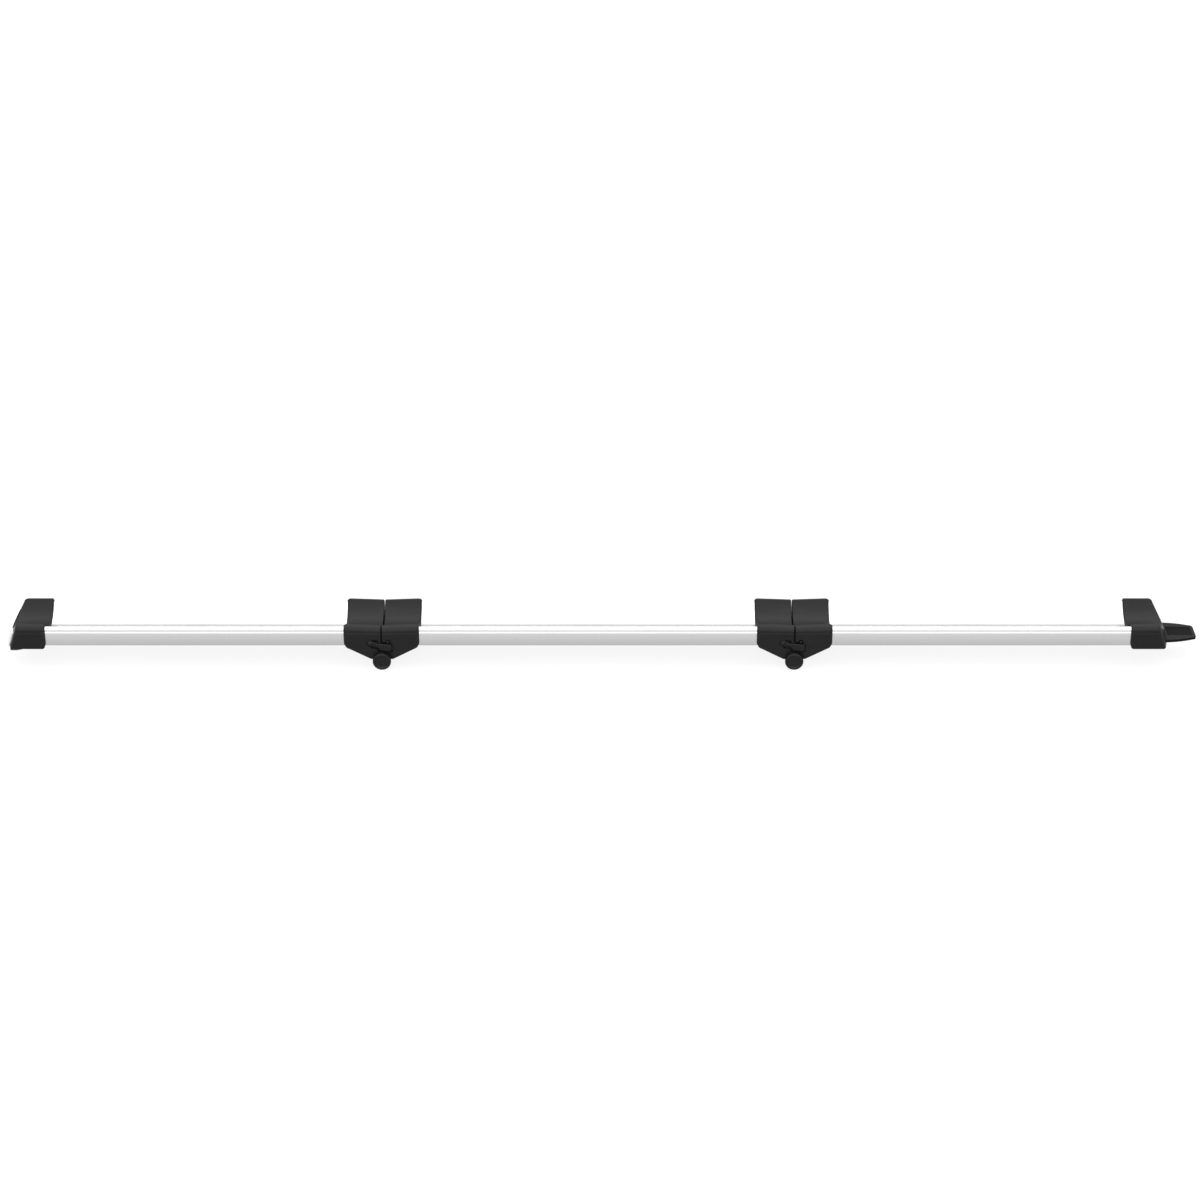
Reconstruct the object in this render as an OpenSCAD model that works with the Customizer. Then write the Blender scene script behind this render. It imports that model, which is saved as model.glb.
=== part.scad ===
// Three-section folding channel bar: aluminium wheel channels, moulded folding joints, nosed ends.
// The bar lies along X, its trough opens upwards, and it stands on the heads of its two hinge pins.

/* [Bar] */
// Distance between the two hinge pins
pin_spacing = 537; // [450:1:620]
// From a hinge pin to the foot of the nose at the outer end
outer_length = 483.9; // [420:0.1:520]

/* [Channel] */
// Overall width of the extrusion
channel_w = 78; // [74:1:84]
// Height from underside to lip
channel_h = 26; // [26:0.5:28]
// Height of the vertical side before the shoulder starts
side_h = 17; // [15:0.5:18]
// Radius of the shoulder under each lip
shoulder_r = 6; // [5:0.5:7]
// Radius of the bead along each lip
bead_r = 4.4; // [3.8:0.1:4.6]
// Radius of the wheel trough
trough_r = 42; // [41:0.5:43]
// Thickness of the double floor at the middle
floor_t = 7; // [7:0.5:9]
// Thickness of the extruded walls
wall_t = 2; // [1.6:0.1:2.2]

/* [Joint castings] */
// How far the moulded shells stand proud of the channel
skin_t = 3.6; // [3:0.1:4]
// Length of each shell from the pin plane
shell_l = 49.2; // [44:0.2:56]
// Gap between the two butting faces
seam_gap = 1; // [0.8:0.1:1.6]
// Thickness of each butting wall
butt_t = 3.4; // [3:0.1:5]
// Drop of the pin axis below the channel
pin_drop = 18.5; // [17:0.5:20]
// Radius of the knuckle round the pin
knuckle_r = 11; // [9:0.5:11.5]

/* [Pins] */
// Diameter of the hinge pin
pin_d = 8; // [6:0.5:9]
// Diameter of the knob and of the rear head
knob_d = 24; // [24:0.5:25]
// Thickness of the knob and of the rear head
knob_t = 5.6; // [4.5:0.1:6.5]

/* [Ends] */
// Length of channel that an end cap covers, from the foot of its nose
cap_l = 47.2; // [42:0.2:52]
// Lean of the nose from upright, in degrees
nose_lean = 19.3; // [12:0.1:22]
// Radius of the nose in plan
nose_r = 148; // [120:1:200]
// Reach of the tongue beyond the foot of the nose
tongue_reach = 44; // [30:0.5:60]
// Width of the tongue at its root
tongue_w = 47; // [40:0.5:52]
// Thickness of the tongue
tongue_t = 4.8; // [4:0.1:5]

/* [Hidden] */

ALLOY = "#dfe0e2";
BLACK = "#232324";
STEEL = "#9a9c9f";
GREY = "#b9b9b7";

fit_gap = 0.15;
run_gap = 0.06;
over = 1;
half_w = channel_w / 2;
shell_half_w = half_w + skin_t;
bead_y = 33.8;
bead_z = channel_h - bead_r;
trough_z = floor_t + trough_r;
corner_r = 2;
rib_y = 14;
rib_t = 2;
side_gap = 0.05;

// Heights: the knobs stand on z = 0
pin_z = knob_d / 2;
channel_z = pin_z + pin_drop;
shell_z = channel_z - skin_t;

// Lengths: the origin is the middle of the whole bar with its tongue
pin_x = pin_spacing / 2;
foot_x = pin_x + outer_length;
strip_t = 1.6;
cap_floor_t = 18;
nose_bulge = (nose_r - sqrt(pow(nose_r, 2) - pow(shell_half_w, 2))) / cos(nose_lean);
nose_x = foot_x + nose_bulge;
bar_x = (nose_x + strip_t - foot_x - tongue_reach) / 2;
cap_x = foot_x - cap_l;
stop_x = foot_x - cap_floor_t;
butt_x = seam_gap / 2 + butt_t;

// Ears: the outer pair carries the left half of each joint, the inner pair the right half
ear_t = 5.7;
ear_gap = 0.3;
outer_ear_y = shell_half_w;
inner_ear_y = shell_half_w - ear_t - ear_gap;
inner_ear_end = inner_ear_y - ear_t;
ear_top = pin_drop - skin_t + over;
ear_tip_x = 13.8;
ear_tip_z = 0.3;
web_foot = 43;

// Latch arm, measured from the pin axis: a flush root on its rivet and a nose past the seam
latch_x = -15;
latch_z = 24.2;
latch_boss_r = 4.4;
latch_r = 1.6;
arm_t = 2.4;
arm_neck_x = -1.3;
arm_neck_z = 23.1;
arm_foot = 18.9;
arm_foot_x = -3.2;
thumb_foot = 14.6;
nose_tip_x = 12.7;
nose_top = 22.3;
nose_foot = 17.4;
nose_chamfer = 1.2;
nose_slope = 3.2;
nose_front = 5;
nose_back = 2.4;

// Window for the arm, with a level seat for its spring
recess_t = 2.6;
window_x = -20;
window_top = 29.6;
window_foot = 17.8;
window_neck_x = -4.4;
window_neck_z = 25.2;
window_knee_z = 12.9;
window_mouth = [11.4, 24.4];
spring_x = -9;
spring_seat = 16.2;
spring_seat_l = 5;

// Pocket for the nose, and the peg above it
pocket_r = 26.9;
pocket_x = 15;
pocket_foot = 11.6;
peg_x = 8.1;
peg_z = 26.6;
peg_r = 1.4;
peg_reach = 1.6;

rivet_r = 2;
rivet_y = 22;
rivet_inset = 30;
cap_rivet_inset = 27;

// Bodies of revolution along Y, starting at y0 and running towards the back
module along_y(x, y0, z, length, radius)
    translate([x, y0, z]) rotate([-90, 0, 0]) cylinder(r = radius, h = length, $fn = 64);

// A profile drawn across the bar (Y to the right, Z up) drawn out along X
module along_bar(x0, length)
    translate([x0, 0, channel_z]) rotate([90, 0, 90]) linear_extrude(length) children();

// An outline drawn in the X-Z plane of a joint (pin axis at the origin), from y0 back by depth
module joint_plate(y0, depth)
    translate([0, y0 + depth, pin_z]) rotate([90, 0, 0]) linear_extrude(depth) children();

module on_bar() translate([bar_x, 0, 0]) children();
module at_joint(side) translate([bar_x + side * pin_x, 0, 0]) children();
module both_sides() {
    children();
    mirror([0, 1, 0]) children();
}

// Outside of the channel grown by g: flat base, upright sides, round shoulders
module channel_body(g) {
    w = half_w + g;
    r = corner_r;
    translate([-w, r - g]) square([2 * w, side_h - r + g]);
    translate([r - w, -g]) square([2 * (w - r), side_h + g]);
    translate([shoulder_r - half_w, 0]) square([channel_w - 2 * shoulder_r, side_h + shoulder_r + g]);
    for (s = [-1, 1]) {
        translate([s * (w - r), r - g]) circle(r = r, $fn = 48);
        translate([s * (half_w - shoulder_r), side_h]) circle(r = shoulder_r + g, $fn = 64);
    }
}

module channel_outline(g) {
    difference() {
        channel_body(g);
        translate([0, trough_z]) circle(r = trough_r - g, $fn = 128);
    }
    for (s = [-1, 1]) translate([s * bead_y, bead_z]) circle(r = bead_r + g, $fn = 48);
}

// Hollow between the trough skin and the base, split by two ribs
module channel_cores() {
    difference() {
        channel_body(-wall_t);
        translate([0, trough_z]) circle(r = trough_r + wall_t, $fn = 128);
        for (s = [-1, 1]) translate([s * rib_y - rib_t / 2, -over]) square([rib_t, channel_h]);
    }
}

module channel_length(x0, x1) {
    along_bar(x0, x1 - x0) difference() {
        channel_outline(0);
        channel_cores();
    }
}

module rivet_holes(x)
    for (s = [-1, 1]) translate([x, s * rivet_y, shell_z - over])
        cylinder(r = rivet_r + run_gap, h = skin_t + wall_t + 2 * over, $fn = 32);

// Cross holes through shell and side wall for the latch rivet and the catch peg of a joint at x
module latch_hole(x) along_y(x + latch_x, -shell_half_w, pin_z + latch_z, skin_t + wall_t + over, latch_r);
module peg_hole(x) along_y(x + peg_x, -shell_half_w, pin_z + peg_z, skin_t + wall_t + over, peg_r);

module channel_left() color(ALLOY) on_bar() difference() {
    channel_length(-stop_x, -pin_x - butt_x);
    rivet_holes(-pin_x - rivet_inset);
    rivet_holes(-foot_x + cap_rivet_inset);
    latch_hole(-pin_x);
}

module channel_middle() color(ALLOY) on_bar() difference() {
    channel_length(-pin_x + butt_x, pin_x - butt_x);
    for (s = [-1, 1]) rivet_holes(s * (pin_x - rivet_inset));
    peg_hole(-pin_x);
    latch_hole(pin_x);
}

module channel_right() color(ALLOY) on_bar() difference() {
    channel_length(pin_x + butt_x, stop_x);
    rivet_holes(pin_x + rivet_inset);
    rivet_holes(foot_x - cap_rivet_inset);
    peg_hole(pin_x);
}

// Web below a shell, on the side s of the pin, sloping down to the height of the pin
module web_outline(s) polygon([
    [s * seam_gap / 2, ear_top], [s * web_foot, ear_top],
    [s * ear_tip_x, ear_tip_z], [s * seam_gap / 2, ear_tip_z]
]);

module ear_outline(s) {
    web_outline(s);
    circle(r = knuckle_r, $fn = 96);
}

module web_clear_of_knuckle(s) difference() {
    web_outline(s);
    circle(r = knuckle_r + ear_gap + run_gap, $fn = 96);
}

// Moulded shell on side s: wraps the channel inside and out, with a butting wall at the seam
module joint_shell(s) {
    start = s < 0 ? -shell_l : seam_gap / 2;
    pocket = s < 0 ? -shell_l - over : butt_x;
    difference() {
        along_bar(start, shell_l - seam_gap / 2) channel_outline(skin_t);
        along_bar(pocket, shell_l - butt_x + over) channel_outline(fit_gap);
    }
}

// Window in the front wall that the latch arm works in
module latch_window() joint_plate(-shell_half_w - over, recess_t + over) polygon([
    [window_x, window_top], [window_neck_x, window_top], [window_neck_x, window_neck_z],
    [over, window_mouth[1]], [over, window_mouth[0]], [window_neck_x, window_knee_z],
    [spring_x + spring_seat_l / 2, spring_seat], [spring_x - spring_seat_l / 2, spring_seat],
    [window_x, window_foot]
]);

// Arc-shaped pocket that the nose of the latch arm swings through, with a lobe round the peg
module latch_pocket() joint_plate(-shell_half_w - over, recess_t + over) {
    intersection() {
        circle(r = pocket_r, $fn = 128);
        translate([-over, pocket_foot]) square([pocket_x + over, pocket_r]);
    }
    translate([peg_x, peg_z]) circle(r = 2 * peg_r, $fn = 48);
}

// Left half of a joint: outer ears, latch window
module bracket_outer_ears() difference() {
    union() {
        joint_shell(-1);
        both_sides() {
            joint_plate(-outer_ear_y, ear_t) ear_outline(-1);
            joint_plate(-inner_ear_y - ear_gap, ear_t + ear_gap) web_clear_of_knuckle(-1);
        }
    }
    along_bar(-shell_l - over, shell_l - butt_x + over) channel_outline(fit_gap);
    along_y(0, -shell_half_w - over, pin_z, 2 * (shell_half_w + over), pin_d / 2 + run_gap);
    rivet_holes(-rivet_inset);
    latch_window();
    latch_hole(0);
}

// Right half of a joint: inner ears, latch pocket
module bracket_inner_ears() difference() {
    union() {
        joint_shell(1);
        both_sides() {
            joint_plate(-inner_ear_y, ear_t) ear_outline(1);
            joint_plate(-outer_ear_y, ear_t + ear_gap) web_clear_of_knuckle(1);
        }
    }
    along_bar(butt_x, shell_l - butt_x + over) channel_outline(fit_gap);
    along_y(0, -shell_half_w - over, pin_z, 2 * (shell_half_w + over), pin_d / 2 + run_gap);
    rivet_holes(rivet_inset);
    latch_pocket();
    peg_hole(0);
}

module bracket_left_outer() color(BLACK) at_joint(-1) bracket_outer_ears();
module bracket_left_inner() color(BLACK) at_joint(-1) bracket_inner_ears();
module bracket_right_inner() color(BLACK) at_joint(1) bracket_outer_ears();
module bracket_right_outer() color(BLACK) at_joint(1) bracket_inner_ears();

washer_t = 1.5;
washer_r = 9;
washer_y = shell_half_w + fit_gap;
knob_y = washer_y + washer_t + side_gap;
knob_rim = 1.5;
dish_r = 7.5;
dish_t = 1;
socket_t = 3.5;
pin_end = knob_y + socket_t;

module hinge_pin(side) color(STEEL) at_joint(side) along_y(0, -pin_end, pin_z, 2 * pin_end, pin_d / 2);
module hinge_pin_left() hinge_pin(-1);
module hinge_pin_right() hinge_pin(1);

// Dished round head with a blind socket for the pin, lying with its face towards -Y
module dished_head() translate([0, -knob_y, pin_z]) rotate([90, 0, 0]) rotate_extrude($fn = 96) difference() {
    union() {
        square([knob_d / 2 - knob_rim, knob_t]);
        square([knob_d / 2, knob_t - knob_rim]);
        translate([knob_d / 2 - knob_rim, knob_t - knob_rim]) circle(r = knob_rim, $fn = 32);
    }
    translate([-over, -over]) square([pin_d / 2 + run_gap + over, socket_t + run_gap + over]);
    translate([-over, knob_t - dish_t]) square([dish_r + over, dish_t + over]);
    translate([-knob_d, -over]) square([knob_d, knob_t + 2 * over]);
}

module hinge_knob_left() color(BLACK) at_joint(-1) dished_head();
module hinge_knob_right() color(BLACK) at_joint(1) dished_head();
module pin_head_left() color(BLACK) at_joint(-1) mirror([0, 1, 0]) dished_head();
module pin_head_right() color(BLACK) at_joint(1) mirror([0, 1, 0]) dished_head();

// Spacer tube between the inner ears
sleeve_r = 6.5;
sleeve_gap = 0.2;
module hinge_sleeve(side) color(STEEL) at_joint(side) difference() {
    along_y(0, -inner_ear_end + sleeve_gap, pin_z, 2 * (inner_ear_end - sleeve_gap), sleeve_r);
    along_y(0, -inner_ear_end, pin_z, 2 * inner_ear_end, pin_d / 2 + run_gap);
}
module hinge_sleeve_left() hinge_sleeve(-1);
module hinge_sleeve_right() hinge_sleeve(1);

module thrust_washers(side) color(STEEL) at_joint(side) both_sides() difference() {
    along_y(0, -washer_y - washer_t, pin_z, washer_t, washer_r);
    along_y(0, -washer_y - washer_t - over, pin_z, washer_t + 2 * over, pin_d / 2 + run_gap);
}
module thrust_washers_left() thrust_washers(-1);
module thrust_washers_right() thrust_washers(1);

// Face of the latch arm in the X-Z plane: round boss, sloping lever, deep thumb pad past the seam
module latch_side() difference() {
    polygon(concat(
        [for (a = [76 : 12 : 280]) [latch_x + latch_boss_r * cos(a), latch_z + latch_boss_r * sin(a)]],
        [[arm_foot_x, arm_foot], [arm_foot_x + 1.7, thumb_foot], [nose_tip_x - nose_slope, thumb_foot],
         [nose_tip_x, nose_foot], [nose_tip_x, nose_top - nose_chamfer],
         [nose_tip_x - nose_chamfer, nose_top], [arm_neck_x, arm_neck_z]]
    ));
    translate([latch_x, latch_z]) circle(r = latch_r + run_gap, $fn = 48);
}

// Plan of the latch arm: flush at its root, standing proud of the shell at its nose
module latch_plan() polygon([
    [window_x, 0], [latch_x + 1, 0], [nose_tip_x - 1, -nose_front], [nose_tip_x, 1 - nose_front],
    [nose_tip_x, -nose_back], [latch_x + arm_t, arm_t], [window_x, arm_t]
]);

rivet_sink = 0.2;
latch_head_t = 0.85;
latch_head_r = 2.6;
clench_t = 0.95;
clench_r = 2.4;

module latch_arm(side) color(BLACK) at_joint(side) difference() {
    intersection() {
        joint_plate(-shell_half_w - 2 * nose_front, 4 * nose_front) latch_side();
        translate([0, -shell_half_w, pin_z]) linear_extrude(2 * pin_drop) latch_plan();
    }
    along_y(latch_x, -shell_half_w - over, pin_z + latch_z, over + rivet_sink + latch_head_t + side_gap,
        latch_head_r + 0.1);
}
module latch_arm_left() latch_arm(-1);
module latch_arm_right() latch_arm(1);

// Shouldered rivet that the latch arm turns on, clenched behind the channel's side wall
module latch_rivet(side) color(STEEL) at_joint(side) {
    head_y = -shell_half_w + rivet_sink;
    clench_y = -half_w + wall_t + side_gap;
    along_y(latch_x, head_y, pin_z + latch_z, latch_head_t, latch_head_r);
    along_y(latch_x, head_y, pin_z + latch_z, clench_y + clench_t - head_y - side_gap, latch_r - 0.01);
    along_y(latch_x, clench_y, pin_z + latch_z, clench_t, clench_r);
}
module latch_rivet_left() latch_rivet(-1);
module latch_rivet_right() latch_rivet(1);

// Small coil under the arm: a round wire swept up a helix
spring_r = 0.95;
wire_r = 0.22;
spring_turns = 4;
spring_base = spring_seat + side_gap + wire_r;
spring_rise = arm_foot - spring_seat - 0.35 - 2 * wire_r;
wire_sides = 6;
turn_steps = 16;
spring_steps = spring_turns * turn_steps;
function coil_point(i, k) =
    let(turn = 360 * i / turn_steps, side = 360 * k / wire_sides, reach = spring_r + wire_r * cos(side))
    [reach * cos(turn), reach * sin(turn), spring_rise * i / spring_steps + wire_r * sin(side)];
module coil() polyhedron(
    points = [for (i = [0 : spring_steps], k = [0 : wire_sides - 1]) coil_point(i, k)],
    faces = concat(
        [[for (k = [0 : wire_sides - 1]) k]],
        [for (i = [0 : spring_steps - 1], k = [0 : wire_sides - 1])
            [i * wire_sides + k, (i + 1) * wire_sides + k,
             (i + 1) * wire_sides + (k + 1) % wire_sides, i * wire_sides + (k + 1) % wire_sides]],
        [[for (k = [wire_sides - 1 : -1 : 0]) spring_steps * wire_sides + k]]
    )
);
module latch_spring(side) color(STEEL) at_joint(side)
    translate([spring_x, -shell_half_w + recess_t / 2, pin_z + spring_base]) coil();
module latch_spring_left() latch_spring(-1);
module latch_spring_right() latch_spring(1);

module catch_peg(side) color(STEEL) at_joint(side)
    along_y(peg_x, -shell_half_w - peg_reach, pin_z + peg_z, skin_t + peg_reach + wall_t, peg_r - 0.01);
module catch_peg_left() catch_peg(-1);
module catch_peg_right() catch_peg(1);

// Leaning cylinder that shapes the nose at the right-hand end
module nose_round(grow)
    translate([nose_x, 0, shell_z]) rotate([0, -nose_lean, 0])
        translate([-nose_r, 0, -channel_w]) cylinder(r = nose_r + grow, h = 2 * channel_w, $fn = 256);

module end_cap_shape() difference() {
    intersection() {
        along_bar(cap_x, cap_l + 2 * nose_bulge) channel_outline(skin_t);
        nose_round(0);
    }
    along_bar(cap_x - over, stop_x - cap_x + over) channel_outline(fit_gap);
    rivet_holes(foot_x - cap_rivet_inset);
}

// Tongue set in from under the nose, held by two screws from below
tongue_top = channel_z + 0.4;
tongue_root_x = foot_x - 14;
tongue_tip_x = foot_x + tongue_reach;
tongue_half = tongue_w / 2;
tip_half = 0.68 * tongue_half;
tip_corner_r = 4.5;
rim_w = 4;
rim_t = 1.5;
tongue_screw_x = foot_x - 7;
tongue_screw_y = 12;
tongue_screw_r = 2;
screw_head_r = 3.8;
screw_head_t = 1.75;
screw_l = 5;

module end_cap_left() color(BLACK) on_bar() mirror([1, 0, 0]) end_cap_shape();
module end_cap_right() color(BLACK) on_bar() difference() {
    end_cap_shape();
    translate([tongue_root_x, -tongue_half - fit_gap, shell_z - over])
        cube([2 * tongue_reach, tongue_w + 2 * fit_gap, tongue_top - shell_z + over]);
    for (s = [-1, 1]) translate([tongue_screw_x, s * tongue_screw_y, channel_z])
        cylinder(r = tongue_screw_r + 0.01, h = screw_l + 1.2, $fn = 32);
}

// Light rubber strip round the foot of the left nose
strip_inset = 0.6;
strip_foot = 1;
strip_h = 21;
strip_half_w = 35;
module nose_strip() color(GREY) on_bar() mirror([1, 0, 0]) difference() {
    intersection() {
        along_bar(cap_x, cap_l + 2 * nose_bulge) channel_outline(skin_t - strip_inset);
        nose_round(strip_t);
        translate([cap_x, -strip_half_w, shell_z + strip_foot]) cube([2 * cap_l, 2 * strip_half_w, strip_h]);
    }
    nose_round(side_gap);
}

// Rubber foot under the left nose: flat below, with a ramp on its inner side
pad_t = 2.2;
pad_l = 16;
pad_ramp = 7;
pad_half_w = shell_half_w - 1.2;
module ground_pad() color(BLACK) on_bar() mirror([1, 0, 0]) intersection() {
    translate([foot_x - pad_l, pad_half_w, shell_z]) rotate([90, 0, 0]) linear_extrude(2 * pad_half_w)
        polygon([[0, 0], [0, -0.3], [pad_ramp, -pad_t], [2 * pad_l, -pad_t], [2 * pad_l, 0]]);
    nose_round(-1);
}

// Plan of the tongue: sides that draw in along a parabola to a square tip with rounded corners
tongue_steps = 12;
module tongue_plan() {
    corner_x = tongue_tip_x - tip_corner_r;
    corner_y = tip_half - tip_corner_r;
    side = concat(
        [[tongue_root_x, tongue_half]],
        [for (i = [0 : tongue_steps]) let(t = i / tongue_steps)
            [foot_x + t * (corner_x - foot_x), tongue_half - (tongue_half - tip_half) * t * t]],
        [for (a = [80 : -10 : 0]) [corner_x + tip_corner_r * cos(a), corner_y + tip_corner_r * sin(a)]]
    );
    polygon(concat(side, [for (i = [len(side) - 1 : -1 : 0]) [side[i][0], -side[i][1]]]));
}

// Flat tongue with a raised rim round its upper face, open towards the root
module hook_tongue() color(BLACK) on_bar() difference() {
    translate([0, 0, tongue_top - tongue_t]) linear_extrude(tongue_t) tongue_plan();
    translate([nose_x, rim_w - tip_half, tongue_top - rim_t])
        cube([tongue_reach - nose_bulge - rim_w, 2 * (tip_half - rim_w), rim_t + over]);
    for (s = [-1, 1]) translate([tongue_screw_x, s * tongue_screw_y, 0]) {
        cylinder(r = tongue_screw_r + run_gap, h = 2 * channel_z, $fn = 32);
        cylinder(r = screw_head_r + 0.2, h = tongue_top - tongue_t + 2, $fn = 48);
    }
}

module tongue_screws() color(STEEL) on_bar()
    for (s = [-1, 1]) translate([tongue_screw_x, s * tongue_screw_y, tongue_top - tongue_t]) difference() {
        union() {
            translate([0, 0, 0.2]) cylinder(r = screw_head_r, h = screw_head_t, $fn = 48);
            translate([0, 0, 0.2]) cylinder(r = tongue_screw_r, h = tongue_t + screw_l, $fn = 32);
        }
        translate([0, 0, -over]) cylinder(r = 1.7, h = over + 1.2, $fn = 6);
    }

// Blind rivet through a shell and the base of the channel: low head below, bulb in the hollow
rivet_head_r = 3.6;
bulb_r = 2.9;
bulb_t = 1.3;
module rivet_pair(x) color(STEEL) for (s = [-1, 1]) translate([x, s * rivet_y, shell_z]) {
    translate([0, 0, -1]) cylinder(r = rivet_head_r, h = 1 - side_gap, $fn = 48);
    translate([0, 0, -1]) cylinder(r = rivet_r, h = 1 + skin_t + wall_t + bulb_t + 0.1, $fn = 32);
    translate([0, 0, skin_t + wall_t + side_gap]) cylinder(r = bulb_r, h = bulb_t, $fn = 48);
}
module rivets_left() on_bar() {
    rivet_pair(-pin_x - rivet_inset);
    rivet_pair(-foot_x + cap_rivet_inset);
}
module rivets_middle() on_bar() for (s = [-1, 1]) rivet_pair(s * (pin_x - rivet_inset));
module rivets_right() on_bar() {
    rivet_pair(pin_x + rivet_inset);
    rivet_pair(foot_x - cap_rivet_inset);
}

channel_left();
channel_middle();
channel_right();
bracket_left_outer();
bracket_left_inner();
bracket_right_inner();
bracket_right_outer();
hinge_pin_left();
hinge_pin_right();
hinge_knob_left();
hinge_knob_right();
pin_head_left();
pin_head_right();
hinge_sleeve_left();
hinge_sleeve_right();
thrust_washers_left();
thrust_washers_right();
latch_arm_left();
latch_arm_right();
latch_rivet_left();
latch_rivet_right();
latch_spring_left();
latch_spring_right();
catch_peg_left();
catch_peg_right();
end_cap_left();
end_cap_right();
nose_strip();
ground_pad();
hook_tongue();
tongue_screws();
rivets_left();
rivets_middle();
rivets_right();
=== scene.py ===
"""Folding channel bar: three aluminium wheel channels, moulded folding joints, nosed ends and a tongue.

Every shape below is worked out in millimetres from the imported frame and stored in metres.
"""

from math import atan2, cos, degrees, hypot, pi, radians, sin, sqrt

import bmesh
import bpy
import numpy as np
from mathutils import Matrix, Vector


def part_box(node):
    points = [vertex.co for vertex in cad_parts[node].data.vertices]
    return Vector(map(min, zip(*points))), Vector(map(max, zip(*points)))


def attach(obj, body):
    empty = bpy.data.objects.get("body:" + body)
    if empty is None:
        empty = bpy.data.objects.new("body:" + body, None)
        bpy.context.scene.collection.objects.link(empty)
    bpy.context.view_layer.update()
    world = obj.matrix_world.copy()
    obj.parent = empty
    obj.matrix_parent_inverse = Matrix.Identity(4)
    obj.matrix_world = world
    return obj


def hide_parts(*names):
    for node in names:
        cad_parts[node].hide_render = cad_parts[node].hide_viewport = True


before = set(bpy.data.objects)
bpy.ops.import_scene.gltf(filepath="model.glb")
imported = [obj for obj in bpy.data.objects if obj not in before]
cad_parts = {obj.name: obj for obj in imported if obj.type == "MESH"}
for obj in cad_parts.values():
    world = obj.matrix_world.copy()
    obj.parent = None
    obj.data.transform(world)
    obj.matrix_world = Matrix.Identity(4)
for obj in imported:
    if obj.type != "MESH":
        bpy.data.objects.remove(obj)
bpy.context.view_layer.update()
MM = 0.001


# ---------------------------------------------------------------- camera and studio
# A long lens square to the bar and a little above it, over a plain pale floor. One wide soft
# box hangs overhead, in a white room that is brightest above.
LENS = 82.5
SENSOR = 36.0
ELEVATION = radians(29.0)
DISTANCE = 3.591
AIM = np.array([-0.0023, 0.0, 0.0772])

camera_data = bpy.data.cameras.new("camera")
camera_data.lens = LENS
camera_data.sensor_width = SENSOR
camera = bpy.data.objects.new("camera", camera_data)
camera.location = AIM + DISTANCE * np.array([0.0, -cos(ELEVATION), sin(ELEVATION)])
camera.rotation_euler = (pi / 2 - ELEVATION, 0.0, 0.0)
bpy.context.collection.objects.link(camera)
bpy.context.scene.camera = camera
bpy.context.scene.view_settings.view_transform = "Standard"


def soft_box(name, place, turn, size, power):
    """A rectangular area light of the given width and depth."""
    light = bpy.data.lights.new(name, "AREA")
    light.shape = "RECTANGLE"
    light.size, light.size_y = size
    light.energy = power
    lamp = bpy.data.objects.new(name, light)
    lamp.location = place
    lamp.rotation_euler = turn
    bpy.context.collection.objects.link(lamp)


soft_box("overhead", (0.0, 0.5, 2.4), (radians(-12), 0, 0), (4.5, 1.8), 22)

# The room is brightest overhead and high up in front of the bar, and even and dimmer elsewhere.
BRIGHT_SIDE = (0.0, -0.3, 0.95)
DIM, BRIGHT = 1.15, 3.2
world = bpy.data.worlds.new("studio_room")
world.use_nodes = True
room = world.node_tree
direction = room.nodes.new("ShaderNodeTexCoord").outputs["Generated"]
towards = room.nodes.new("ShaderNodeVectorMath")
towards.operation = "DOT_PRODUCT"
towards.inputs[1].default_value = BRIGHT_SIDE
strength = room.nodes.new("ShaderNodeMapRange")
strength.interpolation_type = "SMOOTHSTEP"
for socket, value in {"From Min": 0.3, "From Max": 0.75, "To Min": DIM, "To Max": BRIGHT}.items():
    strength.inputs[socket].default_value = value
room.links.new(direction, towards.inputs[0])
room.links.new(towards.outputs["Value"], strength.inputs["Value"])
room.links.new(strength.outputs["Result"], room.nodes["Background"].inputs["Strength"])
room.nodes["Background"].inputs["Color"].default_value = (1.0, 1.0, 1.0, 1.0)
bpy.context.scene.world = world


class Value:
    """A shader socket that Python's arithmetic works on: each operator adds one Math node."""

    def __init__(self, tree, socket):
        self.tree, self.socket = tree, socket

    def math(self, operation, *values):
        node = self.tree.nodes.new("ShaderNodeMath")
        node.operation = operation
        for socket, value in zip(node.inputs, values):
            if isinstance(value, Value):
                self.tree.links.new(value.socket, socket)
            else:
                socket.default_value = value
        return Value(self.tree, node.outputs[0])

    def __add__(self, other):
        return self.math("ADD", self, other)

    def __radd__(self, other):
        return self.math("ADD", other, self)

    def __mul__(self, other):
        return self.math("MULTIPLY", self, other)

    def __rmul__(self, other):
        return self.math("MULTIPLY", other, self)


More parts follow.
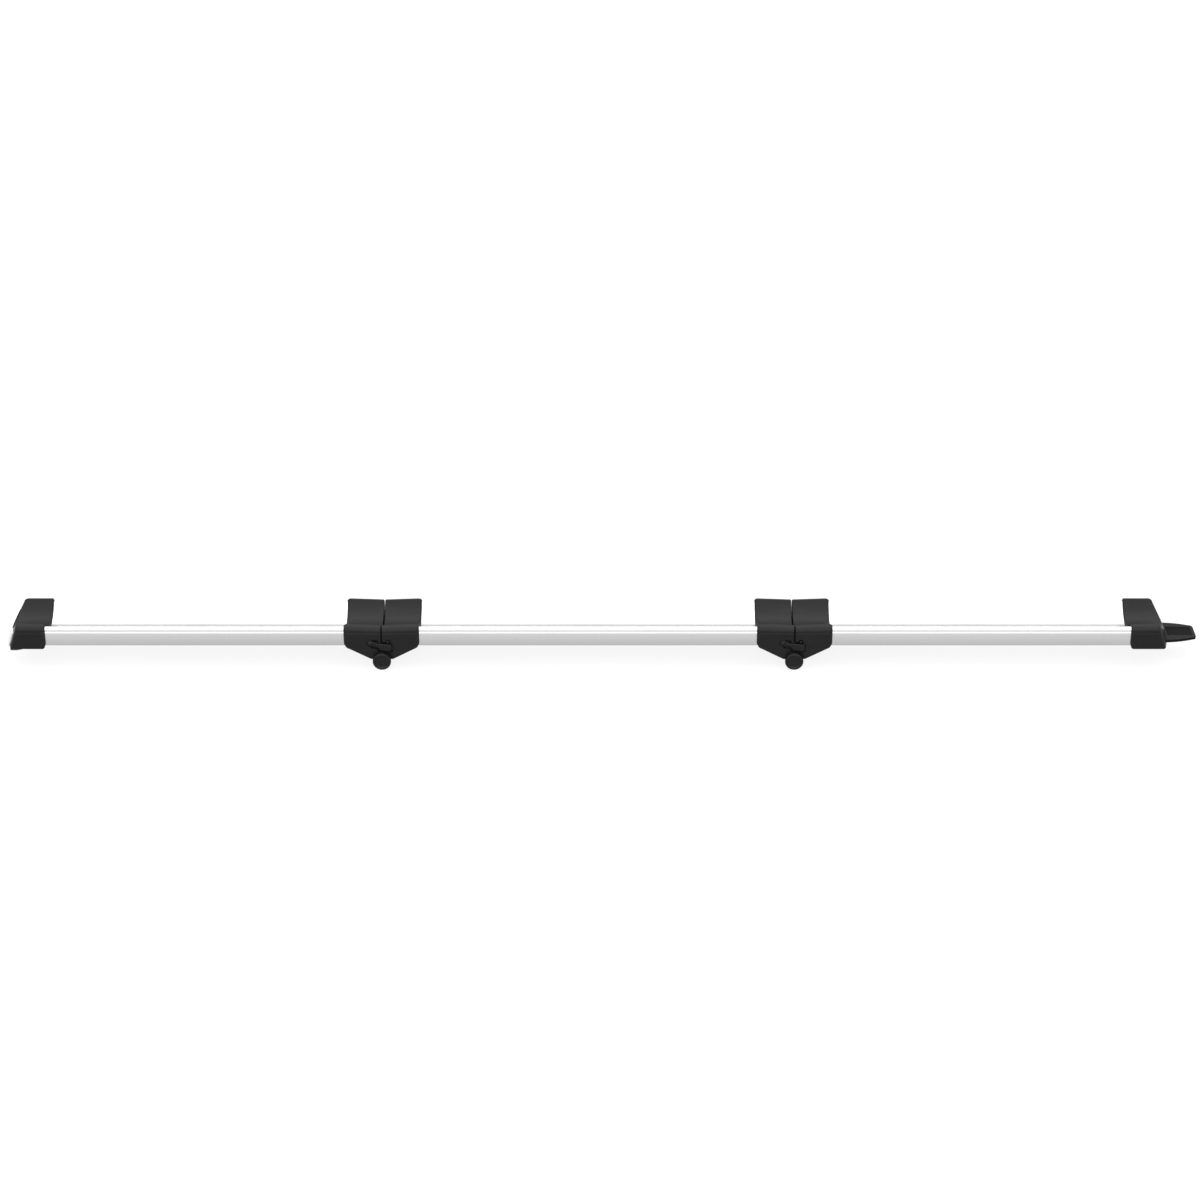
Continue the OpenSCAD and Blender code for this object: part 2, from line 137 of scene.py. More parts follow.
class Finish:
    """A material being built: add() makes any node, and the shader's fixed values are set by name."""

    def __init__(self, name, **fixed):
        self.material = bpy.data.materials.new(name)
        self.material.use_nodes = True
        self.tree = self.material.node_tree
        self.shader = self.tree.nodes["Principled BSDF"]
        for socket, value in fixed.items():
            self.shader.inputs[socket.replace("_", " ")].default_value = value

    def add(self, kind, output=0, settings=None, **inputs):
        """One node of a kind: its settings first, then the values or links of its sockets by name."""
        node = self.tree.nodes.new("ShaderNode" + kind)
        for key, value in (settings or {}).items():
            setattr(node, key, value)
        for key, value in inputs.items():
            self.feed(node.inputs[int(key[1:]) if key[0] == "_" else key], value)
        return Value(self.tree, node.outputs[output])

    def feed(self, socket, value):
        if isinstance(value, Value):
            self.tree.links.new(value.socket, socket)
        else:
            socket.default_value = value

    def place(self, stretch=(1.0, 1.0, 1.0), source="Object"):
        """Coordinates in metres, or from the UV map, multiplied axis by axis."""
        where = self.add("TexCoord", source)
        return self.add("Mapping", Vector=where, Scale=stretch)

    def noise(self, stretch, scale=1.0, detail=2.0, source="Object"):
        """Grey noise from 0 to 1, centred near one half."""
        return self.add("TexNoise", Vector=self.place(stretch, source), Scale=scale, Detail=detail)

    def ramp(self, value, low, high):
        """Value stretched so that low becomes 0 and high becomes 1, and held there."""
        return self.add("MapRange", Value=value, **{"From Min": low, "From Max": high})

    def mix(self, share, first, second):
        """Colour running from first to second as share goes from 0 to 1."""
        return self.add("Mix", 2, {"data_type": "RGBA"}, _0=share, _6=first, _7=second)

    def bump(self, height, depth, strength=1.0):
        """Raises the surface by height times depth in metres."""
        normal = self.add("Bump", Height=height, Distance=depth, Strength=strength)
        self.feed(self.shader.inputs["Normal"], normal)

    def shade(self, **inputs):
        for key, value in inputs.items():
            self.feed(self.shader.inputs[key.replace("_", " ")], value)


def floor_finish():
    """A plain white shooting table, lit a little from below, with the faintest mottling."""
    table = Finish("studio_table", Roughness=0.9, Emission_Color=(1, 1, 1, 1), Emission_Strength=0.86)
    mottle = table.ramp(table.noise((1, 1, 1), 3.0), 0.3, 0.7)
    table.shade(Base_Color=table.mix(mottle, (0.06, 0.06, 0.06, 1), (0.07, 0.07, 0.07, 1)))
    return table.material


floor_mesh = bpy.data.meshes.new("studio_floor")
FLOOR = 30.0
floor_mesh.from_pydata([(-FLOOR, -FLOOR, 0), (FLOOR, -FLOOR, 0), (FLOOR, FLOOR, 0), (-FLOOR, FLOOR, 0)],
                       [], [(0, 1, 2, 3)])
floor_mesh.materials.append(floor_finish())
floor = bpy.data.objects.new("studio_floor", floor_mesh)
bpy.context.collection.objects.link(floor)


# ---------------------------------------------------------------- channels
# Three lengths of one hollow aluminium extrusion, satin anodised. A wheel trough runs along the
# top between two beaded lips, the sides are upright and the base is flat.
HALF_W = 39.0
LIP = 26.0
SIDE = 17.0
SHOULDER = 6.0
BEAD = 4.4
BEAD_AT = (33.8, LIP - BEAD)
TROUGH = 42.0
TROUGH_AT = (0.0, 7.0 + TROUGH)
CORNER = 2.0
SHARP_ABOVE = radians(32)

left_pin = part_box("hinge_pin_left")
right_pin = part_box("hinge_pin_right")
PIN_X = [1000 * (pin[0][0] + pin[1][0]) / 2 for pin in (left_pin, right_pin)]
PIN_Z = 1000 * (left_pin[0][2] + left_pin[1][2]) / 2
BASE_Z = 1000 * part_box("channel_middle")[0][2]


def arc(centre, radius, start, end, count):
    """Points round a circle from one angle to another, in degrees."""
    turn = np.radians(np.linspace(start, end, count))
    return np.stack([centre[0] + radius * np.cos(turn), centre[1] + radius * np.sin(turn)], 1)


def line(start, end, count):
    """Evenly spaced points from start to end, both included."""
    return np.linspace(start, end, count)


def meeting(centre_a, radius_a, centre_b, radius_b, side):
    """Angles at which two circles cross, seen from each centre, on the chosen side of their line."""
    dx, dz = centre_b[0] - centre_a[0], centre_b[1] - centre_a[1]
    gap = hypot(dx, dz)
    along = (gap ** 2 + radius_a ** 2 - radius_b ** 2) / (2 * gap)
    across = side * sqrt(max(radius_a ** 2 - along ** 2, 0.0))
    x = along * dx / gap - across * dz / gap
    z = along * dz / gap + across * dx / gap
    return degrees(atan2(z, x)), degrees(atan2(z - dz, x - dx))


def section(grow):
    """Outline of the channel grown outwards, as (across, up) points: base, side, shoulder, bead, trough.

    The right half runs from the middle of the base round to the middle of the trough; the left
    half is its mirror image, so point i and point n-i lie opposite each other across the wall.
    """
    half = HALF_W + grow
    shoulder_at = (HALF_W - SHOULDER, SIDE)
    leave, enter = meeting(shoulder_at, SHOULDER + grow, BEAD_AT, BEAD + grow, -1)
    bead_end, trough_start = meeting(BEAD_AT, BEAD + grow, TROUGH_AT, TROUGH - grow, -1)
    outside = np.concatenate([
        line((0, -grow), (half - CORNER, -grow), 12)[:-1],
        arc((half - CORNER, CORNER - grow), CORNER, -90, 0, 7)[:-1],
        line((half, CORNER - grow), (half, SIDE), 6)[:-1],
        arc(shoulder_at, SHOULDER + grow, 0, leave, 12)[:-1],
        arc(BEAD_AT, BEAD + grow, enter, 90, 14),
    ])
    inside = np.concatenate([
        arc(BEAD_AT, BEAD + grow, 90, bead_end % 360, 14)[1:],
        arc(TROUGH_AT, TROUGH - grow, trough_start, -90, 34)[1:],
    ])
    right = np.concatenate([outside, inside])
    left = right[-2:0:-1] * (-1, 1)
    return np.concatenate([right, left])


def collapse(outline):
    """Folds an outline onto the curve midway between its outer and inner skins, to close an end."""
    count = len(outline) // 2
    right = outline[:count + 1]
    lip = int(np.argmax(right[:, 1]))
    outer, inner = right[:lip + 1], right[lip:][::-1]
    share = lambda path: np.concatenate([[0], np.cumsum(np.hypot(*np.diff(path, axis=0).T))])
    outer_s, inner_s = share(outer), share(inner)
    at = lambda s, path_s, path: np.stack([np.interp(s * path_s[-1], path_s, path[:, k]) for k in (0, 1)], 1)
    middle = lambda s: (at(s, outer_s, outer) + at(s, inner_s, inner)) / 2
    from_outer, from_inner = middle(outer_s / outer_s[-1]), middle(inner_s / inner_s[-1])
    half = np.concatenate([from_outer, from_inner[::-1][1:]])
    return np.concatenate([half, half[-2:0:-1] * (-1, 1)])


def skin(name, rows, wrap=True):
    """Joins a grid of points (rows, columns, xyz in mm) into one closed, outward-facing smooth mesh.

    The UV map holds distance along the rows and along the columns, in metres.
    """
    rows = np.asarray(rows, float)
    m, n = rows.shape[:2]
    index = np.arange(m * n).reshape(m, n)
    across = np.roll(index, -1, 1) if wrap else index[:, 1:]
    here = index if wrap else index[:, :-1]
    faces = np.stack([here[:-1], across[:-1], across[1:], here[1:]], -1).reshape(-1, 4)
    mesh = bpy.data.meshes.new(name)
    mesh.from_pydata((rows.reshape(-1, 3) * MM), [], faces.tolist())
    step_v = np.linalg.norm(np.diff(rows, axis=0), axis=2).mean(1)
    step_u = np.linalg.norm(rows[m // 2] - np.roll(rows[m // 2], 1, 0), axis=1)
    v = np.concatenate([[0], np.cumsum(step_v)]) * MM
    u = np.concatenate([[0], np.cumsum(step_u[1:])]) * MM
    closing = u[-1] + step_u[0] * MM
    col = np.arange(m * n).reshape(m, n) % n
    next_u = np.where(across[:-1] % n == 0, closing, u[across[:-1] % n])
    first_u, row_v = u[col[:-1, :here.shape[1]]], v[:-1, None] + 0 * next_u
    last_v = v[1:, None] + 0 * next_u
    uv = np.stack([np.stack([row_v, first_u], -1), np.stack([row_v, next_u], -1),
                   np.stack([last_v, next_u], -1), np.stack([last_v, first_u], -1)], 2)
    mesh.uv_layers.new(name="along").data.foreach_set("uv", uv.astype(np.float32).ravel())
    return tidy(name, mesh)


def tidy(name, mesh):
    """Merges doubled points, turns the faces outwards, smooths all but the sharp edges."""
    work = bmesh.new()
    work.from_mesh(mesh)
    bmesh.ops.remove_doubles(work, verts=work.verts, dist=0.002 * MM)
    bmesh.ops.recalc_face_normals(work, faces=work.faces)
    work.to_mesh(mesh)
    work.free()
    mesh.polygons.foreach_set("use_smooth", np.ones(len(mesh.polygons), bool))
    mesh.set_sharp_from_angle(angle=SHARP_ABOVE)
    piece = bpy.data.objects.new(name, mesh)
    bpy.context.collection.objects.link(piece)
    return piece


def extend(outline, x):
    """An outline carried to x, which may be a number or one value for each point."""
    return np.column_stack([np.broadcast_to(x, len(outline)), outline[:, 0], outline[:, 1] + BASE_Z])


def fit(piece, finish, slot, body, *nodes):
    """Gives a piece its finish and its place in the assembly."""
    piece.data.materials.clear()
    piece.data.materials.append(finish)
    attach(piece, body)
    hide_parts(*nodes)
    return piece


def alloy_finish():
    """Satin anodised extrusion: fine die lines along the length, painted shade darkening the colour towards
    the foot, soft cloudy sheen.
    """
    alloy = Finish("anodised_alloy", Metallic=1.0, Anisotropic=0.25)
    die_lines = alloy.noise((3.0, 2600.0, 1.0), 1.0, 3.0, "UV")
    broad_lines = alloy.noise((1.2, 420.0, 1.0), 1.0, 2.0, "UV")
    cloud = alloy.noise((9.0, 40.0, 40.0), 1.0, 3.0)
    lines = alloy.ramp(die_lines * 0.65 + broad_lines * 0.35, 0.35, 0.65)
    clean = alloy.mix(lines, (0.555, 0.555, 0.555, 1), (0.595, 0.595, 0.595, 1))
    # Painted shade: a darker copy of the colour, blended in from 19 mm above the base down to 1 mm, so the
    # lower sides and the base read darker.
    painted_foot_shade = alloy.mix(lines, (0.43, 0.43, 0.43, 1), (0.47, 0.47, 0.47, 1))
    height = alloy.add("SeparateXYZ", 2, Vector=alloy.add("TexCoord", "Object"))
    alloy.shade(
        Base_Color=alloy.mix(alloy.ramp(height, (BASE_Z + 19) * MM, (BASE_Z + 1) * MM), clean, painted_foot_shade),
        Roughness=0.17 + 0.05 * lines + 0.05 * cloud,
    )
    alloy.bump(lines, 0.004 * MM, 0.6)
    return alloy.material


alloy = alloy_finish()
CHANNELS = {"channel_left": "left_section", "channel_middle": "middle_section",
            "channel_right": "right_section"}
for node, body in CHANNELS.items():
    low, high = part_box(node)
    outline = section(0.0)
    ends = [1000 * low[0], 1000 * high[0]]
    rows = [extend(collapse(outline), ends[0]), *[extend(outline, x) for x in np.linspace(*ends, 9)],
            extend(collapse(outline), ends[1])]
    fit(skin(node + "_extrusion", rows), alloy, "alloy", body, node)


# ---------------------------------------------------------------- joint castings
# Four glass-filled nylon mouldings: a shell wraps the end of each channel, and ears under it
# carry the pin. One half of a joint has a window for the latch arm, the other a pocket for its nose.
SKIN = 3.6
SHELL = 49.2
SEAM = 0.5
BUTT = 3.9
FIT = 0.15
EDGE = 1.5
RIM = 3.4
RIM_RUN = 4.4
LIP_DIP = 1.8
DROP = BASE_Z - PIN_Z
FACE_Y = -(HALF_W + SKIN)
KNUCKLE = 11.0
EAR_TOP = DROP - SKIN + 1.0
WEB_TIP = (14.4, 0.4)
WEB_FOOT = 43.0
OUTER_EAR = (36.9, 42.2)
INNER_EAR = (30.9, 36.6)
RECESS = 2.6
POCKET = 26.9
PEG_AT = (8.1, 26.6)
PEG_R = 1.4
PIN_R = 4.0
ARM_ROOT = (-15.0, 24.2)


def shell_end(height):
    """Distance of the shell's rim from the pin: upright, then swept under in a quarter ellipse."""
    fall = np.clip((2.0 - height) / 5.95, 0.0, 1.0)
    return SHELL - 8.6 * (1 - np.sqrt(1 - fall ** 2))


def shell_rows(side):
    """Rows of a shell: seam face, rounded edge, outside, rounded rim, inside, floor of the pocket.

    Each row is the channel's outline grown by some amount. The lips sink a little towards the seam.
    """
    def row(outline, distance):
        top = np.clip((outline[:, 1] - 18.0) / 9.0, 0.0, 1.0)
        sunk = outline - np.outer(LIP_DIP * top * np.clip(1 - distance / SHELL, 0, 1), (0, 1))
        return extend(sunk, side * distance)

    outside = section(SKIN)
    end = shell_end(outside[:, 1])
    full = np.ones(len(outside))
    rows = [row(collapse(section(SKIN - EDGE)), SEAM * full)]
    for turn in np.radians(np.linspace(0, 90, 5)):
        rows.append(row(section(SKIN - EDGE + EDGE * sin(turn)), SEAM + EDGE * (1 - cos(turn)) * full))
    start = SEAM + EDGE
    for share in np.linspace(0, 1, 9)[1:]:
        rows.append(row(outside, start + share * (end - RIM_RUN - start)))
    for turn in np.radians(np.linspace(0, 90, 8)[1:]):
        rows.append(row(section(SKIN - RIM + RIM * cos(turn)), end - RIM_RUN + RIM_RUN * sin(turn)))
    inside = section(FIT)
    rows += [row(inside, end - 0.1), extend(inside, side * BUTT), extend(collapse(inside), side * BUTT)]
    return np.array(rows)


def plate(name, outline, front, back):
    """An outline in X-Z, measured from the pin axis, drawn through from front to back along Y."""
    outline = np.asarray(outline, float)
    count = len(outline)
    loop = lambda y: np.column_stack([outline[:, 0], np.full(count, y), outline[:, 1] + PIN_Z])
    step = np.arange(count)
    sides = np.stack([step, (step + 1) % count, (step + 1) % count + count, step + count], 1)
    mesh = bpy.data.meshes.new(name)
    mesh.from_pydata(np.concatenate([loop(front), loop(back)]) * MM, [],
                     [step.tolist(), (step[::-1] + count).tolist(), *sides.tolist()])
    mesh.uv_layers.new(name="along")
    return tidy(name, mesh)


def finished(piece):
    """Applies a piece's modifiers and shades it again."""
    graph = bpy.context.evaluated_depsgraph_get()
    mesh = bpy.data.meshes.new_from_object(piece.evaluated_get(graph))
    piece.modifiers.clear()
    piece.data = mesh
    mesh.polygons.foreach_set("use_smooth", np.ones(len(mesh.polygons), bool))
    mesh.set_sharp_from_angle(angle=SHARP_ABOVE)
    return piece


def rounded(piece, width, segments=2):
    """Rounds every sharp edge of a piece by width."""
    bevel = piece.modifiers.new("edges", "BEVEL")
    bevel.width = width * MM
    bevel.segments = segments
    bevel.limit_method = "ANGLE"
    bevel.angle_limit = SHARP_ABOVE
    return finished(piece)


def worked(piece, operation, *tools):
    """Adds or cuts away other solids, which are then thrown away."""
    for tool in tools:
        step = piece.modifiers.new("work", "BOOLEAN")
        step.operation = operation
        step.solver = "EXACT"
        step.object = tool
    finished(piece)
    for tool in tools:
        bpy.data.objects.remove(tool)
    return piece


def web_outline(side):
    """Web under a shell: level along the top, sloping down to the pin's height."""
    return [(side * SEAM, EAR_TOP), (side * WEB_FOOT, EAR_TOP), (side * WEB_TIP[0], WEB_TIP[1])]


def ear_outline(side):
    """A web that runs into the round knuckle about the pin."""
    reach = degrees(atan2(sqrt(KNUCKLE ** 2 - SEAM ** 2), SEAM))
    round_end = arc((0, 0), KNUCKLE, 0, -360 + reach, 60) * (side, 1)
    return np.concatenate([web_outline(side), round_end])


def clear_web_outline(side):
    """A web cut back to clear the knuckle of the other half."""
    clear = KNUCKLE + 0.4
    low = degrees(atan2(WEB_TIP[1], WEB_TIP[0]))
    high = degrees(atan2(sqrt(clear ** 2 - SEAM ** 2), SEAM))
    return np.concatenate([web_outline(side), arc((0, 0), clear, low, high, 24) * (side, 1)])


def latch_window():
    """Opening that hugs the arm's round root and widens towards the seam, with a level spring seat."""
    root = arc(ARM_ROOT, 4.75, 96, 250, 24)
    return np.concatenate([root, [(-11.5, 16.2), (-6.5, 16.2), (-4.4, 12.9), (1, 11.4),
                                   (1, 24.4), (-4.4, 25.2), (-4.4, 29.6)]])


def latch_pocket():
    """Sector about the pin that the nose of the latch arm swings through."""
    low, wide = 11.6, 15.0
    start = degrees(atan2(sqrt(POCKET ** 2 - wide ** 2), wide))
    return np.concatenate([[(-1, low), (wide, low)], arc((0, 0), POCKET, start, 92, 30)])


def nylon_finish():
    """Spark-textured black nylon: fine grain, faint flow clouds, scuffed patches a little rougher."""
    nylon = Finish("black_nylon", IOR=1.21)
    grain = nylon.noise((1, 1, 1), 2600.0, 3.0)
    flow = nylon.noise((0.4, 1, 1), 70.0, 3.0)
    scuff = nylon.ramp(nylon.noise((1, 6, 6), 55.0, 4.0), 0.62, 0.74)
    dark, pale = (0.0062, 0.0062, 0.0064, 1), (0.0080, 0.0080, 0.0082, 1)
    nylon.shade(
        Base_Color=nylon.mix(nylon.ramp(flow, 0.3, 0.7), dark, pale),
        Roughness=0.25 + 0.08 * flow + 0.05 * grain + 0.06 * scuff,
    )
    nylon.bump(grain, 0.05 * MM, 0.35)
    return nylon.material


def at_pin(piece, joint):
    """Carries a piece made about the pin axis to its own joint."""
    piece.data.transform(Matrix.Translation((PIN_X[joint] * MM, 0, 0)))
    return piece


nylon = nylon_finish()
CASTINGS = {"bracket_left_outer": (0, -1, "left_section"), "bracket_left_inner": (0, 1, "middle_section"),
            "bracket_right_inner": (1, -1, "middle_section"), "bracket_right_outer": (1, 1, "right_section")}
for node, (joint, side, body) in CASTINGS.items():
    casting = skin(node + "_casting", shell_rows(side))
    if side < 0:
        ears, webs = OUTER_EAR, (INNER_EAR[0], OUTER_EAR[0] + 0.2)
    else:
        ears, webs = INNER_EAR, (INNER_EAR[1] - 0.2, OUTER_EAR[1])
    limbs = []
    for face in (-1, 1):
        limbs.append(rounded(plate("ear", ear_outline(side), *sorted(face * np.array(ears))), 0.7))
        limbs.append(rounded(plate("web", clear_web_outline(side), *sorted(face * np.array(webs))), 0.5))
    worked(casting, "UNION", *limbs)
    cut = FACE_Y - 1.0, FACE_Y + RECESS
    hollows = [plate("bore", arc((0, 0), PIN_R + 0.06, 0, 352.5, 48), -50, 50)]
    if side < 0:
        hollows.append(plate("window", latch_window(), *cut))
    else:
        hollows += [plate("pocket", latch_pocket(), *cut),
                    plate("lobe", arc(PEG_AT, 2 * PEG_R, 0, 352.5, 48), *cut)]
    worked(casting, "DIFFERENCE", *hollows)
    fit(at_pin(casting, joint), nylon, "black_moulding", body, node)


# ---------------------------------------------------------------- latch arms
# A nylon lever on each joint lies in its window, turns on a rivet at its root and reaches over
# the seam into the pocket, where its nose stands proud for a thumb.
ARM_X = (-19.4, 12.7)


def arm_rows():
    """Rounded sections along the lever, each with its own top, foot, front and back.

    Top and foot are the outer of the boss circle and the sloping lever; the front runs out in a
    straight line to the nose, and both ends draw in on a quarter circle.
    """
    x = np.unique(np.concatenate([
        ARM_X[0] + 2.2 * (1 - np.cos(np.linspace(0, pi / 2, 7))), np.linspace(-17, 11, 58),
        ARM_X[1] - 1.6 * (1 - np.cos(np.linspace(0, pi / 2, 8)))]))
    boss = np.sqrt(np.clip(4.4 ** 2 - (x - ARM_ROOT[0]) ** 2, 0.09, None))
    lever_top = np.interp(x, [-14, -1.3, 11.5, 12.7], [27.9, 23.1, 22.3, 21.4])
    lever_foot = np.interp(x, [-14, -3.4, -1.7, 9.5, 12.7], [20.6, 19.0, 14.7, 14.7, 17.2])
    top = np.where(x < -14, ARM_ROOT[1] + boss, np.maximum(lever_top, ARM_ROOT[1] + boss * (x < -10.6)))
    foot = np.where(x < -14, ARM_ROOT[1] - boss, np.minimum(lever_foot, 40))
    front = np.interp(x, [-14, 12.0], [0.15, -4.9])
    back = np.interp(x, [-12.4, 12.7], [2.4, -2.4])
    edge = np.clip(np.minimum(x - ARM_X[0], ARM_X[1] - x) / 1.3, 0.0, 1.0)
    draw = np.sqrt(1 - (1 - edge) ** 2)
    middle = np.stack([(front + back) / 2, (top + foot) / 2], 1)
    half = np.stack([(back - front) / 2, (top - foot) / 2], 1)
    half = half - 1.0 * (1 - draw)[:, None] * np.minimum(half, 1.0)
    corner = 0.9
    turn = np.radians(np.arange(0, 360, 7.5) + 3.75)
    quarter = np.stack([np.sign(np.cos(turn)), np.sign(np.sin(turn))], 1)
    bend = np.stack([np.cos(turn), np.sin(turn)], 1) * corner
    ring = quarter[None] * (half[:, None] - np.minimum(corner, half[:, None])) + \
        bend[None] * np.minimum(half[:, None] / corner, 1.0)
    ring += middle[:, None]
    rows = np.concatenate([np.broadcast_to(x[:, None, None], (*ring.shape[:2], 1)), ring], 2)
    rows[..., 1] += FACE_Y
    rows[..., 2] += PIN_Z
    ends = [np.broadcast_to(rows[k].mean(0), rows[k].shape) for k in (0, -1)]
    return np.concatenate([ends[:1], rows, ends[1:]])


LATCHES = {"latch_arm_left": (0, "left_latch"), "latch_arm_right": (1, "right_latch")}
for node, (joint, body) in LATCHES.items():
    arm = skin(node + "_lever", arm_rows())
    sink = plate("sink", arc(ARM_ROOT, 2.7, 0, 352.5, 48), FACE_Y - 1, FACE_Y + 1.1)
    bore = plate("bore", arc(ARM_ROOT, 1.66, 0, 345, 24), FACE_Y - 2, FACE_Y + 4)
    worked(arm, "DIFFERENCE", sink, bore)
    fit(at_pin(arm, joint), nylon, "black_moulding", body, node)


# ---------------------------------------------------------------- latch rivets, springs and pegs
# Blackened steel: a low shouldered rivet for each arm, a four-turn coil under it, and a
# round-ended catch peg pressed into the other half of the joint.
def turned(name, axis, parts):
    """Surfaces of revolution about lines along Y or Z.

    Each part is (centre, profile); a profile lists (distance along the axis, radius) from end to
    end, and its first and last radius are zero, so the surface closes on the axis.
    """
    turn = np.linspace(0, 2 * pi, 64, endpoint=False)
    meshes = []
    for centre, profile in parts:
        along, radius = np.asarray(profile, float).T
        out = radius[:, None]
        if axis == "Y":
            grid = (out * np.cos(turn), along[:, None] + 0 * turn, out * np.sin(turn))
        else:
            grid = (out * np.cos(turn), out * np.sin(turn), along[:, None] + 0 * turn)
        meshes.append(skin(name, np.stack(grid, -1) + centre))
    return joined(meshes, name)


def joined(pieces, name):
    """Puts several meshes into one piece."""
    work = bmesh.new()
    for piece in pieces:
        work.from_mesh(piece.data)
        bpy.data.objects.remove(piece)
    mesh = bpy.data.meshes.new(name)
    work.to_mesh(mesh)
    work.free()
    mesh.set_sharp_from_angle(angle=SHARP_ABOVE)
    piece = bpy.data.objects.new(name, mesh)
    bpy.context.collection.objects.link(piece)
    return piece


def dome(start, radius, rise, count=6):
    """Profile points of a shallow round head, from its crown on the axis to its rim."""
    turn = np.linspace(0, pi / 2, count)
    return [(start - rise * cos(t), radius * sin(t)) for t in turn]


def helix(name, centre, reach, wire, turns, rise):
    """A round wire swept up a helix: ring centres climb evenly while they go round."""
    t = np.linspace(0, 1, turns * 28 + 1)[:, None]
    side = np.linspace(0, 2 * pi, 10, endpoint=False)[None]
    away = reach + wire * np.cos(side)
    angle = 2 * pi * turns * t
    rows = np.stack([away * np.cos(angle), away * np.sin(angle), rise * t + wire * np.sin(side)], -1)
    ends = [np.broadcast_to(rows[k].mean(0), rows[k].shape) for k in (0, -1)]
    return skin(name, np.concatenate([ends[:1], rows, ends[1:]]) + centre)


def steel_finish(name, light, dark, rough):
    """Turned and plated steel: cloudy plating over fine turning marks."""
    steel = Finish(name, Metallic=1.0)
    cloud = steel.ramp(steel.noise((1, 1, 1), 260.0, 3.0), 0.3, 0.7)
    marks = steel.noise((60, 900, 60), 4.0, 2.0)
    steel.shade(Base_Color=steel.mix(cloud, (dark, dark, dark * 1.02, 1), (light, light, light * 1.02, 1)),
                Roughness=rough + 0.10 * cloud + 0.06 * marks)
    steel.bump(marks, 0.01 * MM, 0.4)
    return steel.material


zinc = steel_finish("zinc_plated_steel", 0.62, 0.50, 0.24)
black_steel = steel_finish("blackened_steel", 0.035, 0.022, 0.38)
OWNERS = {"left": (0, "left_section", "middle_section"), "right": (1, "middle_section", "right_section")}
for name, (joint, outer, inner) in OWNERS.items():
    root = np.array([PIN_X[joint] + ARM_ROOT[0], FACE_Y, PIN_Z + ARM_ROOT[1]])
    rivet = [*dome(0.62, 2.6, 0.4), (1.05, 2.6), (1.05, 1.59), (5.65, 1.59), (5.65, 2.3),
             (6.1, 2.3), (6.5, 1.9), (6.6, 0.0)]
    fit(turned("latch_rivet_" + name + "_turned", "Y", [(root, rivet)]),
        black_steel, "black_steel", outer, "latch_rivet_" + name)
    coil = helix("latch_spring_" + name + "_coil", (PIN_X[joint] - 9.0, FACE_Y + RECESS / 2, PIN_Z + 16.47),
                 0.95, 0.22, 4, 1.91)
    fit(coil, black_steel, "black_steel", outer, "latch_spring_" + name)
    peg_at = np.array([PIN_X[joint] + PEG_AT[0], FACE_Y, PIN_Z + PEG_AT[1]])
    peg = [*dome(-0.9, PEG_R - 0.01, 0.7), (5.3, PEG_R - 0.01), (5.6, PEG_R - 0.4), (5.6, 0.0)]
    fit(turned("catch_peg_" + name + "_turned", "Y", [(peg_at, peg)]),
        black_steel, "black_steel", inner, "catch_peg_" + name)


# ---------------------------------------------------------------- hinge pins, sleeves, washers and heads
# A plated pin runs through each joint inside a spacer tube, with a steel washer and a dished
# nylon head pressed on at each end. The joint stands on the rims of its heads.
KNOB = 12.0
KNOB_T = 5.6
WASHER_Y = HALF_W + SKIN + FIT
WASHER_T = 1.5
WASHER = 9.0
KNOB_Y = WASHER_Y + WASHER_T + 0.05
SOCKET = 3.5
SLEEVE = 6.5
SLEEVE_END = INNER_EAR[0] - 0.2


def dished_head():
    """Profile of a head from the bottom of its pin socket out over the rim to its dished face."""
    rim = [(KNOB_T - 2.0 + 2.0 * sin(t), KNOB - 2.0 + 2.0 * cos(t)) for t in np.linspace(0, pi / 2, 9)]
    fall = [(KNOB_T - 1.6 * (1 - cos(t)) / 2, 9.6 - 2.4 * t / pi) for t in np.linspace(0, pi, 11)]
    floor = [(KNOB_T - 1.6 - 0.2 * (1 - (r / 7.2) ** 2), r) for r in (5.8, 4.2, 2.4, 0.0)]
    return [(SOCKET + 0.06, 0.0), (SOCKET + 0.06, PIN_R + 0.03), (0.3, PIN_R + 0.03), (0.0, PIN_R + 0.3),
            (0.0, KNOB - 0.5), (0.15, KNOB - 0.15), (0.5, KNOB), *rim, *fall, *floor]


def flipped(profile, away):
    """A profile measured outwards from a face at distance away, for the back (+Y) side."""
    return [(away + along, radius) for along, radius in profile]


